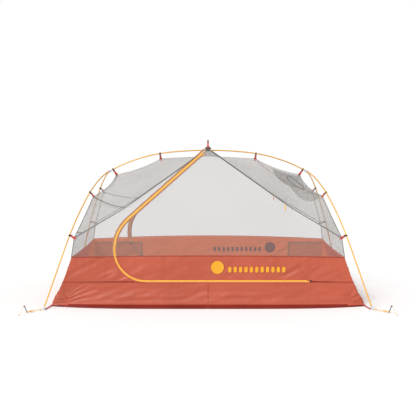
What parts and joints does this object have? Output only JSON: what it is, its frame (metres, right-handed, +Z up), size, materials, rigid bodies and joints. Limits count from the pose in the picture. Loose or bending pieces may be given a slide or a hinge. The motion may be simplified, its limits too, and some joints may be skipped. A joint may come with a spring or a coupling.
{
  "type": "backpacking tent inner on poles",
  "caption": "Free-standing inner tent hung by clips under a hubbed arched pole set, with a bathtub floor, netting walls and a zipped door on each long side.",
  "frame": {"origin": "centre of the floor, on the ground", "axes": "+X along the long side, +Z up, the front door faces -Y"},
  "size_m": [2.4598, 1.9988, 1.1362],
  "materials": {
    "pole": "satin anodised",
    "ferrule": "satin",
    "shock_cord": "braided",
    "hub": "satin",
    "black_plastic": "satin",
    "webbing": "woven webbing",
    "patch": "coated",
    "tub_cloth": "coated nylon",
    "door_mesh": "netting",
    "roof_mesh": "netting",
    "pocket": "netting",
    "zip": "coil and woven tape",
    "slider": "satin",
    "outer_pull": "braided cord",
    "inner_pull": "braided cord",
    "peg": "satin",
    "cord": "braided"
  },
  "bodies": {
    "tent": {"ceiling_pocket": "pocket", "corner_straps": "webbing", "cross_pole_halves": "pole", "cross_pole_tips": "black_plastic", "cross_saddle": "black_plastic", "end_mesh_walls": "roof_mesh", "floor_tub": "tub_cloth", "foot_sockets": "hub", "foot_tips": "ferrule", "front_frame_zip": "zip", "front_mesh_wall": "door_mesh", "front_roof_panels": "roof_mesh", "guy_cord_front_left": "cord", "guy_cord_front_right": "cord", "guy_cord_rear_left": "cord", "guy_cord_rear_right": "cord", "leg_clips": "black_plastic", "leg_lower_sections": "pole", "leg_middle_sections": "pole", "leg_tabs": "webbing", "leg_upper_sections": "pole", "peak_patches": "patch", "peak_straps": "webbing", "pole_ferrules": "ferrule", "rear_frame_zip": "zip", "rear_mesh_wall": "door_mesh", "rear_roof_panels": "roof_mesh", "ridge_clips": "black_plastic", "ridge_end_sections": "pole", "ridge_hubs": "hub", "ridge_middle_section": "pole", "ridge_tabs": "webbing", "shock_cords": "shock_cord", "tieback_toggles": "outer_pull", "tub_end_walls": "tub_cloth", "tub_front_wall": "tub_cloth", "tub_rear_wall": "tub_cloth", "wall_pockets": "pocket", "zip_end_stops": "black_plastic"},
    "front_door": {"front_door_mesh": "door_mesh", "front_door_sill": "tub_cloth", "front_door_zip": "zip"},
    "front_slider": {"front_zip_slider": "slider"},
    "front_outer_pull": {"front_outer_pull": "outer_pull"},
    "front_inner_pull": {"front_inner_pull": "inner_pull"},
    "rear_door": {"rear_door_mesh": "door_mesh", "rear_door_sill": "tub_cloth", "rear_door_zip": "zip"},
    "rear_slider": {"rear_zip_slider": "slider"},
    "rear_outer_pull": {"rear_outer_pull": "outer_pull"},
    "rear_inner_pull": {"rear_inner_pull": "inner_pull"},
    "peg_front_right": {"peg_front_right": "peg", "peg_pull_cord_front_right": "cord"},
    "peg_front_left": {"peg_front_left": "peg", "peg_pull_cord_front_left": "cord"},
    "peg_rear_right": {"peg_rear_right": "peg", "peg_pull_cord_rear_right": "cord"},
    "peg_rear_left": {"peg_rear_left": "peg", "peg_pull_cord_rear_left": "cord"}
  },
  "joints": [
    {"name": "front_door_swing", "type": "hinge", "parent": "tent", "child": "front_door", "pos_m": [0.7, -0.63422, 0.16905], "axis": [-0.6271, 0.1152, 0.7704], "range_deg": [0, 100]},
    {"name": "front_zip_travel", "type": "slide", "parent": "tent", "child": "front_slider", "axis": [-0.7455, -0.0986, -0.6592], "range_m": [0, 0.66]},
    {"name": "front_outer_pull_flip", "type": "hinge", "parent": "front_slider", "child": "front_outer_pull", "pos_m": [-0.03164, -0.51, 1.0534], "axis": [-1, 0, 0], "range_deg": [0, 150]},
    {"name": "front_inner_pull_flip", "type": "hinge", "parent": "front_slider", "child": "front_inner_pull", "pos_m": [-0.03164, -0.49754, 1.05154], "axis": [1, 0, 0], "range_deg": [-5, 75]},
    {"name": "rear_door_swing", "type": "hinge", "parent": "tent", "child": "rear_door", "pos_m": [0.7, 0.63422, 0.16905], "axis": [0.6271, 0.1152, -0.7704], "range_deg": [0, 100]},
    {"name": "rear_zip_travel", "type": "slide", "parent": "tent", "child": "rear_slider", "axis": [-0.7455, 0.0986, -0.6592], "range_m": [0, 0.66]},
    {"name": "rear_outer_pull_flip", "type": "hinge", "parent": "rear_slider", "child": "rear_outer_pull", "pos_m": [-0.03164, 0.51, 1.0534], "axis": [1, 0, 0], "range_deg": [0, 150]},
    {"name": "rear_inner_pull_flip", "type": "hinge", "parent": "rear_slider", "child": "rear_inner_pull", "pos_m": [-0.03164, 0.49754, 1.05154], "axis": [-1, 0, 0], "range_deg": [-5, 75]},
    {"name": "peg_front_right_lift", "type": "slide", "parent": "tent", "child": "peg_front_right", "axis": [0.2335, -0.5003, 0.8338], "range_m": [0, 0.12]},
    {"name": "peg_front_left_lift", "type": "slide", "parent": "tent", "child": "peg_front_left", "axis": [-0.2335, -0.5003, 0.8338], "range_m": [0, 0.12]},
    {"name": "peg_rear_right_lift", "type": "slide", "parent": "tent", "child": "peg_rear_right", "axis": [0.2335, 0.5003, 0.8338], "range_m": [0, 0.12]},
    {"name": "peg_rear_left_lift", "type": "slide", "parent": "tent", "child": "peg_rear_left", "axis": [-0.2335, 0.5003, 0.8338], "range_m": [0, 0.12]}
  ]
}
